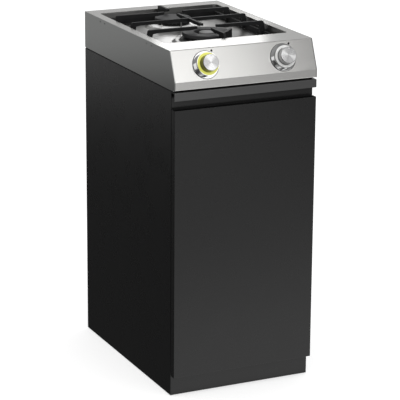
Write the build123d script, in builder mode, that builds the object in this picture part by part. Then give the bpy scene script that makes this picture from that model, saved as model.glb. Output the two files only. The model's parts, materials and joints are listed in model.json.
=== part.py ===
from build123d import *
from math import atan2, cos, sin, radians
import os

os.makedirs("parts", exist_ok=True)

# Outdoor kitchen hob module. Sizes in millimetres.
# +X to the right, +Y to the back, +Z up. The origin is on the floor, midway across the width
# and midway between the front of the knobs and the back of the module.

# Overall sizes
width = 400.0              # across the module
depth = 590.0              # from the door's front to the back
height = 915.0             # floor to the steel rim
hob_height = 99.0          # steel box on top of the cabinet
seam_height = 3.0          # shadow seam between the cabinet and the steel box
floor_gap = 2.0            # cabinet's lower edges above the floor

# Cabinet sheet metal
cabinet_sheet = 1.5
cabinet_flange = 20.0      # return flanges of the side panels
cabinet_bend = 1.0         # outer rounding at the folds
plinth_height = 58.0
plinth_return = 22.0
crossmember_height = 40.0
crossmember_depth = 42.0
sheet_fit = 0.3            # gap between panels that are put together

# Door
door_thickness = 18.0
door_gap = 3.0             # door's back to the cabinet
door_bottom = 56.4
door_top_drop = 148.0      # from the rim to the door's top
door_sheet = 1.5
groove_depth = 20.0        # finger groove in the door's upper edge
groove_upstand = 12.0      # liner's edge turned down behind the door's front

# Grip rail above the door
rail_wall = 2.0
rail_top_fit = 0.1         # below the cabinet's top
rail_lip_height = 21.2
rail_tail_drop = 68.0      # from the rail's top to its lowest point behind the door
rail_tail_depth = 15.0     # how far the tail curves back
rail_bend = 2.4
rail_tail_bend = 7.0

# Door hinges: two pins inside the door's right edge
hinge_inset = 7.0          # pin's centre from the side of the module
hinge_back = 9.0           # pin's centre from the door's front
hinge_end_distance = 92.0  # hinge's centre from the door's top or bottom
hinge_pin_radius = 3.0
hinge_running = 0.08       # radial clearance of the hinge block on its pin
hinge_block_height = 24.0
hinge_block_width = 11.0
hinge_block_depth = 12.5
hinge_ear = 3.0            # thickness of the ears that hold the pin
hinge_ear_radius = 4.5
hinge_ear_gap = 0.5        # between an ear and the block
hinge_leaf_height = 66.0
hinge_leaf_width = 14.0
hinge_leaf_inset = 2.0     # leaf's edge from the side of the module
hinge_leaf = 2.5           # thickness of the leaf
hinge_notch_margin = 2.0   # room round the leaf in the door's edge

# Door catch and bumpers
catch_height = 50.0
catch_width = 16.0
catch_depth = 15.0
catch_drop = 275.0         # from the rim to the catch's lower edge
catch_gap = 0.3            # magnet to keeper with the door shut
catch_wing = 12.0          # mounting plate behind the flange
keeper_margin = 3.0
bumper_radius = 5.0
bumper_gap = 0.3
bumper_end_distance = 24.0

# Levelling feet
foot_radius = 22.0
foot_height = 8.0
foot_inset = 46.0          # foot's centre from the cabinet's sides, front and back
foot_stem_radius = 5.0
foot_stem_fit = 0.15
foot_nut_flats = 17.0
foot_nut_height = 8.0
foot_stem_proud = 6.0      # stem above the cabinet floor

# Vents, hose opening and screws
vent_slot_length = 40.0
vent_slot_width = 5.0
vent_slot_pitch = 12.0
vent_slot_count = 5
vent_edge_distance = 60.0
vent_column_pitch = 80.0
vent_column_count = 3
hose_hole_radius = 22.0
hose_bore_radius = 15.0
hose_side_distance = 80.0  # hose opening's centre from the module's right side
hose_floor_distance = 60.0 # and from the cabinet floor
grommet_lip = 4.0
grommet_lip_thickness = 1.2
grommet_fit = 0.1
screw_head_radius = 4.0
screw_head_height = 1.4
screw_head_taper = 22.0    # degrees
screw_shank_radius = 1.8
screw_hole_radius = 2.1
screw_length = 8.0
back_screw_count = 4
back_screw_pitch = 100.0

# Steel box
hob_sheet = 2.0
hob_bend = 2.4
hob_fit = 0.2              # seams between the steel sheets
rim_front = 85.1           # depth of the rim in front of the well
rim_back = 44.5
rim_side = 25.0
rim_set_back = 30.3        # fascia's upper edge behind the door's front
fascia_rise = 76.0         # slanted part's height
lip_proud = 1.0            # fascia's lip in front of the door's front
lip_height = 20.8
lip_return = 10.0
tray_upstand = 12.0
join_hole_radius = 2.2
join_hole_pitch = 31.0
join_hole_drop = 8.6       # below the rim
join_front = 156.5         # middle of the front pair behind the door's front
join_rear = 464.8
back_slot_length = 36.0
back_slot_width = 6.0
back_slot_pitch = 52.0
back_slot_count = 4
gasket_inset = 1.5
gasket_width = 14.0

# Well
pan_sheet = 1.2
pan_flange = 10.0
pan_fit = 0.3              # pan's wall behind the opening's edge
well_depth = 33.0          # rim's top to the pan's floor
well_corner = 10.0
well_draft = 1.5           # degrees
pan_floor_bend = 3.0
boss_rise = 5.0
boss_run = 9.0
boss_foot = 4.0
boss_bend = 3.0

# Burners
rear_burner_y = 450.0      # behind the door's front
front_burner_y = 237.0
rear_base_radius = 58.0    # bright base
front_base_radius = 73.0
base_rise = 5.0            # base above the pan
base_slope = 6.0
rear_boss_radius = 75.0
front_boss_radius = 91.0
cup_hole_margin = 1.5      # pan's hole round the burner cup
rear_cup_radius = 35.0
front_cup_radius = 49.0
cup_wall = 3.0
rear_flame_radius = 45.0
front_flame_radius = 60.0
inner_flame_radius = 18.0
outer_flame_bore = 37.0
flame_height = 8.0
flame_web = 3.0
flame_wall = 6.0
flame_port_width = 2.2
flame_port_depth = 3.6
rear_port_count = 28
front_port_count = 36
bore_port_count = 24
inner_port_count = 12
flame_skirt = 8.0
flame_skirt_fit = 0.4
flame_throat = 11.0
flame_feed_radius = 4.0
flame_feed_count = 3
rear_cap_radius = 49.0
front_cap_radius = 65.0
front_cap_bore = 33.0
inner_cap_radius = 20.5
cap_thickness = 9.0
cap_edge = 2.4             # rounding of a cap's upper edge
cap_key_depth = 2.0        # locating rib under a cap
cap_key_wall = 2.5
cap_key_fit = 0.5
arm_radius = 8.0
arm_length = 16.0
arm_spacing = 24.0         # between the two feeds of the front burner
jet_radius = 3.5
jet_height = 12.0
second_jet_x = 32.0
electrode_radius = 1.0
sleeve_radius = 3.0
thermocouple_radius = 2.0
pin_cap_gap = 1.2          # thermocouple to the cap's edge
pin_hole_fit = 0.4
pin_drop = 14.0            # pins' lower ends below the pan's floor
sleeve_rise = 13.0         # upper ends above it
electrode_rise = 21.0
thermocouple_rise = 24.0
rear_electrode_angle = 210.0
rear_thermocouple_angle = 270.0
front_electrode_angle = 120.0
front_thermocouple_angle = 60.0

# Pan support casting
bar_width = 7.0
bar_rise = 10.0            # bar's top above the rim
bar_depth = 9.0
tip_depth = 6.5
tip_run = 20.0             # how far a bar's underside rises to its tip
bar_gap = 28.0             # bar's tip from the middle line
bar_edge_gap = 9.0         # bar's upper outer corner from the well's edge
bar_corner = 5.0
leg_knee_drop = 22.0       # from the bar's top to where the leg turns upright
leg_width = 12.5
haunch_drop = 2.0
haunch_run = 12.0
haunch_rise = 24.0
mid_bar_y = 348.0          # behind the door's front
front_bar_y = 240.0
rear_bar_y = 449.0
mid_finger_front = 266.0
mid_finger_back = 420.0
rear_finger_tip = 481.0
rear_finger_end = 543.5
rear_finger_depth = 13.0
front_finger_tip = 206.0
front_finger_end = 132.0
hook_x = 41.0
hook_y = 178.5
hook_bend = 7.0
hook_clearance = 2.0       # hook's underside above the burner base
frame_edge_gap = 5.0       # foot frame to the well's edge
frame_height = 14.0
frame_corner = 8.0
frame_lift = 2.0           # frame above the pan's floor
frame_pad_radius = 3.2

# Knobs, bezels and light rings
knob_spacing = 217.4
knob_rise = 38.8           # along the fascia from its lower edge
knob_radius = 21.3
knob_height = 34.5         # knob's face above the fascia
knob_edge = 1.2
knob_push = 4.0
bezel_radius = 35.0
bezel_flange = 1.8
bezel_chamfer = 0.6
bezel_wall_radius = 30.2
bezel_wall = 1.2           # wall outside the light ring
bezel_height = 15.0
light_fit = 0.15
light_knob_gap = 0.9
knob_floor_gap = 1.2       # knob's lower edge to the bezel when pushed in
spindle_radius = 3.0
spindle_running = 0.08
spindle_in_knob = 16.0
spindle_hole_radius = 8.0

# Gas valves, manifold, pipes and inlet
valve_gap = 3.0            # valve's neck behind the fascia
valve_neck_radius = 10.0
valve_neck = 9.0
valve_width = 36.0
valve_body = 26.0
valve_depth = 40.0
spindle_in_valve = 28.0    # spindle's end behind the fascia's face
plunger_radius = 2.0
plunger_length = 13.0
plunger_running = 0.08
magnet_radius = 7.0
magnet_length = 14.0
outlet_offset = 12.5
manifold_size = 16.0
manifold_centre = 26.0     # behind the fascia's face
manifold_overhang = 30.0
pipe_radius = 3.5
pipe_bend = 12.0
pipe_start = 16.0
inlet_pipe_radius = 6.0
inlet_bore_radius = 4.0
inlet_bend = 14.0
inlet_side_distance = 38.0 # from the module's right side
inlet_end_gap = 2.0        # thread's end in front of the module's back
inlet_nut_flats = 24.0
inlet_nut_height = 9.0
inlet_thread_radius = 10.45
inlet_thread_length = 16.0
inlet_cutout_width = 50.0  # cut-out in the back sheet round the thread
inlet_cutout_height = 40.0
inlet_cutout_corner = 6.0

# Ignition
igniter_width = 64.0
igniter_depth = 45.0
igniter_height = 28.0
igniter_side_gap = 20.0    # from the box's left side
igniter_front = 385.0      # behind the door's front
battery_width = 70.0
battery_depth = 42.0
battery_height = 20.0
battery_side_gap = 10.0    # from the box's right side
battery_front = 300.0      # behind the door's front
lead_radius = 1.2
lead_bend = 8.0
igniter_lead_rise = 20.0   # above the steel box's lower edge
rear_sensor_lead_rise = 8.0
rear_sensor_lead_y = 130.0 # behind the door's front
front_sensor_lead_rise = 14.0
front_sensor_lead_y = 112.0

# Places worked out from the sizes above
half = width / 2
lean = atan2(rim_set_back + lip_proud, fascia_rise)
knob_reach = (lip_proud - knob_rise * sin(lean) + knob_height * cos(lean)
              + knob_radius * sin(lean))
front = (knob_reach - depth) / 2          # door's front plane
back = front + depth
door_back = front + door_thickness
shell_front = door_back + door_gap        # cabinet's front plane
hob_bottom = height - hob_height
cabinet_top = hob_bottom - seam_height
rim_under = height - hob_sheet
fascia_break = height - fascia_rise
lip_front = front - lip_proud
lip_bottom = fascia_break - lip_height
pan_floor = height - well_depth
door_top = height - door_top_drop
catch_low = height - catch_drop
rail_top = cabinet_top - rail_top_fit
well_width = width - 2 * rim_side
well_front = front + rim_set_back + rim_front
well_back = back - rim_back
well_length = well_back - well_front
well_y = (well_front + well_back) / 2
boss_top = pan_floor + boss_rise
base_top = boss_top + base_rise
flame_top = base_top + flame_height
pin_low = pan_floor - pin_drop
sleeve_top = pan_floor + sleeve_rise
electrode_top = pan_floor + electrode_rise
thermocouple_top = pan_floor + thermocouple_rise
bar_top = height + bar_rise
bar_low = bar_top - bar_depth
bar_reach = well_width / 2 - bar_edge_gap
floor_top = plinth_height + cabinet_sheet
inner_half = half - cabinet_sheet         # inside of the side panels
panel_half = inner_half - sheet_fit       # panels between the side panels
flange_half = half - cabinet_flange
panel_back = back - cabinet_sheet         # back panel's outer face
rail_tail_low = rail_top - rail_tail_drop
hob_half = half - hob_sheet - hob_fit     # steel sheets between the side sheets
hob_back_inner = back - hob_sheet - hob_fit
inlet_x = half - inlet_side_distance
igniter_lead_z = hob_bottom + igniter_lead_rise
rear_sensor_lead_z = hob_bottom + rear_sensor_lead_rise
front_sensor_lead_z = hob_bottom + front_sensor_lead_rise
rear_burner = (0, front + rear_burner_y)
front_burner = (0, front + front_burner_y)

# The fascia's own directions, and its lower edge
fascia_up = Vector(0, sin(lean), cos(lean))
fascia_out = Vector(0, -cos(lean), sin(lean))
fascia_foot = Vector(0, lip_front, fascia_break)

# Door hinges
hinge_x = half - hinge_inset
hinge_y = front + hinge_back
hinge_heights = (door_bottom + hinge_end_distance, door_top - hinge_end_distance)
hinge_leaf_front = shell_front - hinge_leaf
leaf_right = half - hinge_leaf_inset
leaf_left = leaf_right - hinge_leaf_width
notch_half = hinge_leaf_height / 2 + hinge_notch_margin
ear_low = hinge_block_height / 2 + hinge_ear_gap
ear_high = ear_low + hinge_ear
hinge_screw_rise = (ear_high + hinge_leaf_height / 2) / 2
hinge_screw_points = [((leaf_left + leaf_right) / 2, hinge_leaf_front, z + step * hinge_screw_rise)
                      for z in hinge_heights for step in (-1, 1)]

# Back panel screws go into the rear crossmember and into the base panel's back edge
back_screw_points = [((i - (back_screw_count - 1) / 2) * back_screw_pitch, panel_back, z)
                     for i in range(back_screw_count)
                     for z in (cabinet_top - crossmember_height / 2, plinth_height - cabinet_flange / 2)]

# Feet
foot_points = [(side * (half - foot_inset), y) for side in (-1, 1)
               for y in (shell_front + foot_inset, back - foot_inset)]


def span(a, b):
    return (min(a, b), max(a, b))


def block(x, y, z, mode=Mode.ADD):
    """A box between two X, two Y and two Z planes, in the part being built."""
    with Locations(((x[0] + x[1]) / 2, (y[0] + y[1]) / 2, (z[0] + z[1]) / 2)):
        Box(x[1] - x[0], y[1] - y[0], z[1] - z[0], mode=mode)


def drill_along_y(points, radius, length):
    """Round holes along Y through the part being built."""
    with Locations(*points):
        Cylinder(radius, length, rotation=(90, 0, 0), mode=Mode.SUBTRACT)


def post(x, y, low, high, radius, mode=Mode.ADD):
    """An upright round bar or hole in the part being built."""
    with Locations((x, y, (low + high) / 2)):
        Cylinder(radius, high - low, rotation=(0, 0, 45), mode=mode)


def save(part, name):
    part.label = name
    export_step(part, f"parts/{name}.step")


def knob_centre(side):
    return fascia_foot + fascia_up * knob_rise + Vector(side * knob_spacing / 2, 0, 0)


def knob_plane(side, rise):
    """The plane square to a knob's axis, at a distance in front of the fascia's face."""
    return Plane(knob_centre(side) + fascia_out * rise, x_dir=(1, 0, 0), z_dir=fascia_out)


def section_at(x, y):
    """An upright section plane across the module through X and Y, facing the front."""
    return Plane((x, y, 0), x_dir=(1, 0, 0), z_dir=(0, -1, 0))


def around(centre, radius, angle):
    """A point on a circle round a burner, the angle counted from +X."""
    return (centre[0] + radius * cos(radians(angle)), centre[1] + radius * sin(radians(angle)))


def tube(points, bend, radius):
    """A round pipe or wire along straight runs joined by arcs."""
    with BuildPart() as pipe:
        with BuildLine() as route:
            FilletPolyline(*points, radius=bend)
        with BuildSketch(Plane(route.line @ 0, z_dir=route.line % 0)):
            Circle(radius)
        sweep()
    return pipe.part


# Side panels: sheet trays with flanges on all four edges. The flanges stop short of the grip
# rail and of the plinth. The right panel's front flange takes the hinge screws.

def side_panel(side, name):
    with BuildPart() as panel:
        block(span(side * flange_half, side * half), (shell_front, back), (floor_gap, cabinet_top))
        block(span(side * (flange_half - cabinet_sheet), side * inner_half),
              (shell_front + cabinet_sheet, back - cabinet_sheet),
              (floor_gap + cabinet_sheet, cabinet_top - cabinet_sheet), mode=Mode.SUBTRACT)
        flange = span(side * (flange_half - cabinet_sheet), side * inner_half)
        block(flange, (shell_front, shell_front + rail_wall + sheet_fit),
              (rail_tail_low - sheet_fit, cabinet_top), mode=Mode.SUBTRACT)
        block(flange, (shell_front, shell_front + plinth_return + sheet_fit),
              (floor_gap, floor_top + sheet_fit), mode=Mode.SUBTRACT)
        fillet(panel.edges().group_by(Axis.X)[-1 if side > 0 else 0], cabinet_bend)
        if side > 0:
            drill_along_y(hinge_screw_points, screw_hole_radius, 2 * screw_length)
    save(panel.part, name)


side_panel(-1, "left_side_panel")
side_panel(1, "right_side_panel")

# Plinth: a channel behind the door's lower edge, flush with the cabinet's front
with BuildPart() as plinth:
    block((-panel_half, panel_half), (shell_front, shell_front + plinth_return),
          (floor_gap, plinth_height))
    block((-half, half), (shell_front + cabinet_sheet, shell_front + 2 * plinth_return),
          (floor_gap + cabinet_sheet, plinth_height - cabinet_sheet), mode=Mode.SUBTRACT)
    fillet(plinth.edges().group_by(Axis.Y)[0].filter_by(Axis.X), cabinet_bend)
save(plinth.part, "plinth")

# Base panel: the cabinet's floor, its side and back edges turned down, with slots that let
# leaked gas out and holes for the feet
base_back = panel_back - cabinet_sheet - sheet_fit
with BuildPart() as base_panel:
    block((-panel_half, panel_half), (shell_front, base_back), (plinth_height, floor_top))
    for side in (-1, 1):
        block(span(side * (panel_half - cabinet_sheet), side * panel_half),
              (shell_front + plinth_return + sheet_fit, base_back),
              (plinth_height - cabinet_flange, plinth_height))
    block((-panel_half, panel_half), (base_back - cabinet_sheet, base_back),
          (plinth_height - cabinet_flange, plinth_height))
    for x, y in foot_points:
        post(x, y, plinth_height, floor_top, foot_stem_radius + foot_stem_fit, mode=Mode.SUBTRACT)
    with BuildSketch(Plane.XY.offset(plinth_height)):
        with Locations((0, (shell_front + back) / 2)):
            with GridLocations(vent_slot_pitch, 2 * vent_slot_length, 2 * vent_slot_count, 2):
                SlotOverall(vent_slot_length, vent_slot_width, rotation=90)
    extrude(amount=cabinet_sheet, mode=Mode.SUBTRACT)
    drill_along_y(back_screw_points, screw_hole_radius, 2 * screw_length)
save(base_panel.part, "base_panel")

# Levelling feet and the weld nuts that they screw into
with BuildPart() as levelling_feet:
    with Locations(*[(x, y, 0) for x, y in foot_points]):
        Cone(foot_radius, foot_radius - foot_height / 2, foot_height,
             align=(Align.CENTER, Align.CENTER, Align.MIN))
        Cylinder(foot_stem_radius, floor_top + foot_stem_proud,
                 align=(Align.CENTER, Align.CENTER, Align.MIN))
save(levelling_feet.part, "levelling_feet")

with BuildPart() as foot_nuts:
    with BuildSketch(Plane.XY.offset(plinth_height)):
        with Locations(*foot_points):
            RegularPolygon(foot_nut_flats / 2, 6, major_radius=False)
            Circle(foot_stem_radius + foot_stem_fit, mode=Mode.SUBTRACT)
    extrude(amount=-foot_nut_height)
save(foot_nuts.part, "foot_nuts")

# Back panel: flat sheet inside the back flanges, with vent slots above and below and the
# opening for the gas hose
hose_x = half - hose_side_distance
hose_z = floor_top + hose_floor_distance
vent_low = hose_z + hose_hole_radius + vent_edge_distance
vent_high = cabinet_top - crossmember_height - vent_edge_distance
with BuildPart() as back_panel:
    block((-panel_half, panel_half), (panel_back - cabinet_sheet, panel_back),
          (floor_gap + cabinet_sheet + sheet_fit, cabinet_top - cabinet_sheet - sheet_fit))
    with BuildSketch(section_at(0, panel_back)):
        with Locations((0, vent_low), (0, vent_high)):
            with GridLocations(vent_column_pitch, vent_slot_pitch, vent_column_count, vent_slot_count):
                SlotOverall(vent_slot_length, vent_slot_width)
        with Locations((hose_x, hose_z)):
            Circle(hose_hole_radius)
    extrude(amount=cabinet_sheet, mode=Mode.SUBTRACT)
    drill_along_y(back_screw_points, screw_hole_radius, 2 * screw_length)
save(back_panel.part, "back_panel")

# Hose grommet: a grooved rubber ring clipped in the back panel
grommet_groove = cabinet_sheet + 2 * grommet_fit
grommet_back = panel_back + grommet_fit + grommet_lip_thickness
with BuildPart() as hose_grommet:
    with BuildSketch(section_at(hose_x, grommet_back)):
        with Locations((0, hose_z)):
            Circle(hose_hole_radius + grommet_lip)
            Circle(hose_bore_radius, mode=Mode.SUBTRACT)
    extrude(amount=grommet_groove + 2 * grommet_lip_thickness)
    with BuildSketch(section_at(hose_x, grommet_back - grommet_lip_thickness)):
        with Locations((0, hose_z)):
            Circle(hose_hole_radius + 2 * grommet_lip)
            Circle(hose_hole_radius - grommet_fit, mode=Mode.SUBTRACT)
    extrude(amount=grommet_groove, mode=Mode.SUBTRACT)
save(hose_grommet.part, "hose_grommet")


# Crossmembers: channels between the side panels that carry the steel box

def crossmember(web_y, inward, name):
    """A channel whose web stands at web_y and whose flanges run inward along Y."""
    low = cabinet_top - crossmember_height
    seat = cabinet_top - cabinet_sheet - sheet_fit   # under the side panels' top flanges
    between = flange_half - sheet_fit
    web = span(web_y, web_y + inward * cabinet_sheet)
    run = span(web_y, web_y + inward * crossmember_depth)
    with BuildPart() as channel:
        block((-panel_half, panel_half), web, (low, seat))
        block((-between, between), web, (low, cabinet_top))
        block((-between, between), run, (cabinet_top - cabinet_sheet, cabinet_top))
        block((-panel_half, panel_half), run, (low, low + cabinet_sheet))
        for side in (-1, 1):
            block(span(side * (panel_half - cabinet_sheet), side * panel_half), run, (low, seat))
        if inward < 0:
            drill_along_y(back_screw_points, screw_hole_radius, 2 * screw_length)
    save(channel.part, name)


crossmember(shell_front + rail_wall, 1, "front_crossmember")
crossmember(panel_back - cabinet_sheet, -1, "rear_crossmember")

# Grip rail: front lip, web, and a wall that curves back behind the door's upper edge
with BuildPart() as grip_rail:
    with BuildSketch(Plane.YZ):
        with BuildLine():
            FilletPolyline((front, rail_top - rail_lip_height), (front, rail_top),
                           (shell_front + rail_wall, rail_top), radius=rail_bend)
            offset(amount=rail_wall, side=Side.RIGHT)
        make_face()
        with BuildLine():
            FilletPolyline((shell_front, rail_top), (shell_front, rail_tail_low),
                           (shell_front + rail_tail_depth, rail_tail_low), radius=rail_tail_bend)
            offset(amount=rail_wall, side=Side.LEFT)
        make_face()
    extrude(amount=half, both=True)
    for side in (-1, 1):
        block(span(side * panel_half, side * (half + rail_wall)),
              (shell_front - sheet_fit, back), (0, height), mode=Mode.SUBTRACT)
save(grip_rail.part, "grip_rail")

# Seating gasket: a rubber ring between the cabinet and the steel box
with BuildPart() as seating_gasket:
    gasket_half = half - gasket_inset
    gasket_y = (shell_front + gasket_inset, back - gasket_inset)
    block((-gasket_half, gasket_half), gasket_y, (cabinet_top, hob_bottom))
    block((gasket_width - gasket_half, gasket_half - gasket_width),
          (gasket_y[0] + gasket_width, gasket_y[1] - gasket_width),
          (cabinet_top, hob_bottom), mode=Mode.SUBTRACT)
save(seating_gasket.part, "seating_gasket")

# Door skin: a tray open at the back and at the finger groove, notched round the hinges
with BuildPart() as door_skin:
    block((-half, half), (front, door_back), (door_bottom, door_top))
    block((door_sheet - half, half - door_sheet), (front + door_sheet, door_back),
          (door_bottom + door_sheet, door_top), mode=Mode.SUBTRACT)
    fillet(door_skin.edges().group_by(Axis.Y)[0], cabinet_bend)
    for z in hinge_heights:
        block((half - door_sheet, half), (front + door_sheet, door_back),
              (z - notch_half, z + notch_half), mode=Mode.SUBTRACT)
save(door_skin.part, "door_skin")

# Door liner: back sheet, floor of the finger groove, and its edge behind the door's front
groove_floor = door_top - groove_depth
with BuildPart() as door_liner:
    liner_low = door_bottom + door_sheet + sheet_fit
    liner_front = front + door_sheet + sheet_fit
    liner_inner = door_back - door_sheet
    with BuildSketch(Plane.YZ):
        with BuildLine():
            Polyline((door_back, liner_low), (door_back, door_top), (liner_inner, door_top),
                     (liner_inner, groove_floor), (liner_front, groove_floor),
                     (liner_front, groove_floor - groove_upstand),
                     (liner_front + door_sheet, groove_floor - groove_upstand),
                     (liner_front + door_sheet, groove_floor - door_sheet),
                     (liner_inner, groove_floor - door_sheet), (liner_inner, liner_low), close=True)
        make_face()
    extrude(amount=half - door_sheet - sheet_fit, both=True)
    for z in hinge_heights:
        block((leaf_left - hinge_notch_margin, half), (liner_inner, door_back),
              (z - notch_half, z + notch_half), mode=Mode.SUBTRACT)
save(door_liner.part, "door_liner")

# Hinge blocks, welded inside the door's front
with BuildPart() as hinge_blocks:
    for z in hinge_heights:
        block((hinge_x - hinge_block_width / 2, hinge_x + hinge_block_width / 2),
              (front + door_sheet, front + door_sheet + hinge_block_depth),
              (z - hinge_block_height / 2, z + hinge_block_height / 2))
        post(hinge_x, hinge_y, z - hinge_block_height, z + hinge_block_height,
             hinge_pin_radius + hinge_running, mode=Mode.SUBTRACT)
save(hinge_blocks.part, "hinge_blocks")


# Hinge leaves on the cabinet's front flange, each with two ears that hold its pin

def hinge_leaf_part(z, name):
    with BuildPart() as leaf:
        block((leaf_left, leaf_right), (hinge_leaf_front, shell_front),
              (z - hinge_leaf_height / 2, z + hinge_leaf_height / 2))
        for low, high in ((z + ear_low, z + ear_high), (z - ear_high, z - ear_low)):
            block((hinge_x - hinge_ear_radius, hinge_x + hinge_ear_radius),
                  (hinge_y, hinge_leaf_front), (low, high))
            post(hinge_x, hinge_y, low, high, hinge_ear_radius)
        post(hinge_x, hinge_y, z - ear_high, z + ear_high, hinge_pin_radius, mode=Mode.SUBTRACT)
        drill_along_y(hinge_screw_points, screw_hole_radius, 2 * screw_length)
    save(leaf.part, name)


hinge_leaf_part(hinge_heights[1], "upper_hinge_leaf")
hinge_leaf_part(hinge_heights[0], "lower_hinge_leaf")

with BuildPart() as hinge_pins:
    for z in hinge_heights:
        post(hinge_x, hinge_y, z - ear_high, z + ear_high, hinge_pin_radius)
save(hinge_pins.part, "hinge_pins")

# Magnetic catch behind the left front flange, its keeper on the door, and two door bumpers
catch_right = -flange_half + sheet_fit + catch_width
with BuildPart() as magnetic_catch:
    block((catch_right - catch_width, catch_right), (shell_front, shell_front + catch_depth),
          (catch_low, catch_low + catch_height))
    block((-flange_half - catch_wing, catch_right),
          (shell_front + cabinet_sheet, shell_front + 2 * cabinet_sheet),
          (catch_low, catch_low + catch_height))
save(magnetic_catch.part, "magnetic_catch")

with BuildPart() as catch_keeper:
    block((catch_right - catch_width, catch_right), (door_back, shell_front - catch_gap),
          (catch_low + keeper_margin, catch_low + catch_height - keeper_margin))
save(catch_keeper.part, "catch_keeper")

with BuildPart() as door_bumpers:
    with BuildSketch(section_at(cabinet_flange / 2 - half, door_back)):
        with Locations((0, door_bottom + bumper_end_distance),
                       (0, rail_tail_low - bumper_end_distance)):
            Circle(bumper_radius)
    extrude(amount=bumper_gap - door_gap)
save(door_bumpers.part, "door_bumpers")


# Screws along Y, heads on the outer faces of what they hold

def pan_head_screws(points, outward, name):
    with BuildPart() as screws:
        for point in points:
            face = Plane(point, x_dir=(1, 0, 0), z_dir=(0, outward, 0))
            with BuildSketch(face):
                Circle(screw_head_radius)
            extrude(amount=screw_head_height, taper=screw_head_taper)
            with BuildSketch(face):
                Circle(screw_shank_radius)
            extrude(amount=-screw_length)
    save(screws.part, name)


pan_head_screws(hinge_screw_points, -1, "hinge_screws")
pan_head_screws(back_screw_points, 1, "back_panel_screws")


# Gas manifold's axis, which the inlet follows to the back
manifold_end = knob_spacing / 2 + manifold_overhang
manifold_axis = (knob_centre(1) - fascia_out * manifold_centre
                 - fascia_up * (valve_body + manifold_size) / 2)

# Steel box: two side sheets with holes for joining modules, a back sheet, the worktop with its
# folded fascia, and a base tray

def hob_side(side, name):
    with BuildPart() as sheet:
        with BuildSketch(Plane.YZ.offset(side * half)):
            with BuildLine():
                Polyline((back, hob_bottom), (back, height), (front + rim_set_back, height),
                         (lip_front, fascia_break), (lip_front, lip_bottom),
                         (lip_front + lip_return, lip_bottom), (lip_front + lip_return, hob_bottom),
                         close=True)
            make_face()
            with Locations((front + join_front, height - join_hole_drop),
                           (front + join_rear, height - join_hole_drop)):
                with GridLocations(join_hole_pitch, 1, 2, 1):
                    Circle(join_hole_radius, mode=Mode.SUBTRACT)
        extrude(amount=-side * hob_sheet)
    save(sheet.part, name)


hob_side(-1, "hob_left_side")
hob_side(1, "hob_right_side")

with BuildPart() as hob_back:
    block((-hob_half, hob_half), (back - hob_sheet, back), (hob_bottom, height))
    with BuildSketch(section_at(0, back)):
        with Locations((0, (hob_bottom + pan_floor) / 2)):
            with GridLocations(back_slot_pitch, 2 * back_slot_width, back_slot_count, 2):
                SlotOverall(back_slot_length, back_slot_width)
        with Locations((inlet_x, manifold_axis.Z)):
            RectangleRounded(inlet_cutout_width, inlet_cutout_height, inlet_cutout_corner)
    extrude(amount=hob_sheet, mode=Mode.SUBTRACT)
save(hob_back.part, "hob_back")

with BuildPart() as worktop:
    with BuildSketch(Plane.YZ):
        with BuildLine():
            FilletPolyline((hob_back_inner, height), (front + rim_set_back, height),
                           (lip_front, fascia_break), (lip_front, lip_bottom),
                           (lip_front + lip_return, lip_bottom), radius=hob_bend)
            offset(amount=hob_sheet, side=Side.LEFT)
        make_face()
    extrude(amount=hob_half, both=True)
    with BuildSketch(Plane.XY.offset(rim_under)):
        with Locations((0, well_y)):
            RectangleRounded(well_width, well_length, well_corner)
    extrude(amount=hob_sheet, mode=Mode.SUBTRACT)
    for side in (-1, 1):
        with BuildSketch(knob_plane(side, 0)):
            Circle(spindle_hole_radius)
        extrude(amount=-2 * hob_sheet, mode=Mode.SUBTRACT)
save(worktop.part, "worktop")

with BuildPart() as hob_base_tray:
    tray_y = (lip_front + lip_return + hob_sheet, hob_back_inner)
    block((-hob_half, hob_half), tray_y, (hob_bottom, hob_bottom + tray_upstand))
    block((cabinet_sheet - hob_half, hob_half - cabinet_sheet),
          (tray_y[0] + cabinet_sheet, tray_y[1] - cabinet_sheet),
          (hob_bottom + cabinet_sheet, hob_bottom + tray_upstand), mode=Mode.SUBTRACT)
    with BuildSketch(Plane.XY.offset(hob_bottom)):
        with Locations((0, (front_burner[1] + rear_burner[1]) / 2)):
            with GridLocations(vent_slot_pitch, 2 * vent_slot_length, 2 * vent_slot_count, 2):
                SlotOverall(vent_slot_length, vent_slot_width, rotation=90)
    extrude(amount=cabinet_sheet, mode=Mode.SUBTRACT)
save(hob_base_tray.part, "hob_base_tray")

# Electrodes and thermocouples stand beside each burner's cap
rear_pin_circle = rear_cap_radius + pin_cap_gap + thermocouple_radius
front_pin_circle = front_cap_radius + pin_cap_gap + thermocouple_radius
rear_electrode = around(rear_burner, rear_pin_circle, rear_electrode_angle)
rear_thermocouple = around(rear_burner, rear_pin_circle, rear_thermocouple_angle)
front_electrode = around(front_burner, front_pin_circle, front_electrode_angle)
front_thermocouple = around(front_burner, front_pin_circle, front_thermocouple_angle)


def drill_pins(low, high):
    """Holes for the electrodes and thermocouples in the part being built."""
    for x, y in (rear_electrode, front_electrode):
        post(x, y, low, high, sleeve_radius + pin_hole_fit, mode=Mode.SUBTRACT)
    for x, y in (rear_thermocouple, front_thermocouple):
        post(x, y, low, high, thermocouple_radius + pin_hole_fit, mode=Mode.SUBTRACT)


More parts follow.
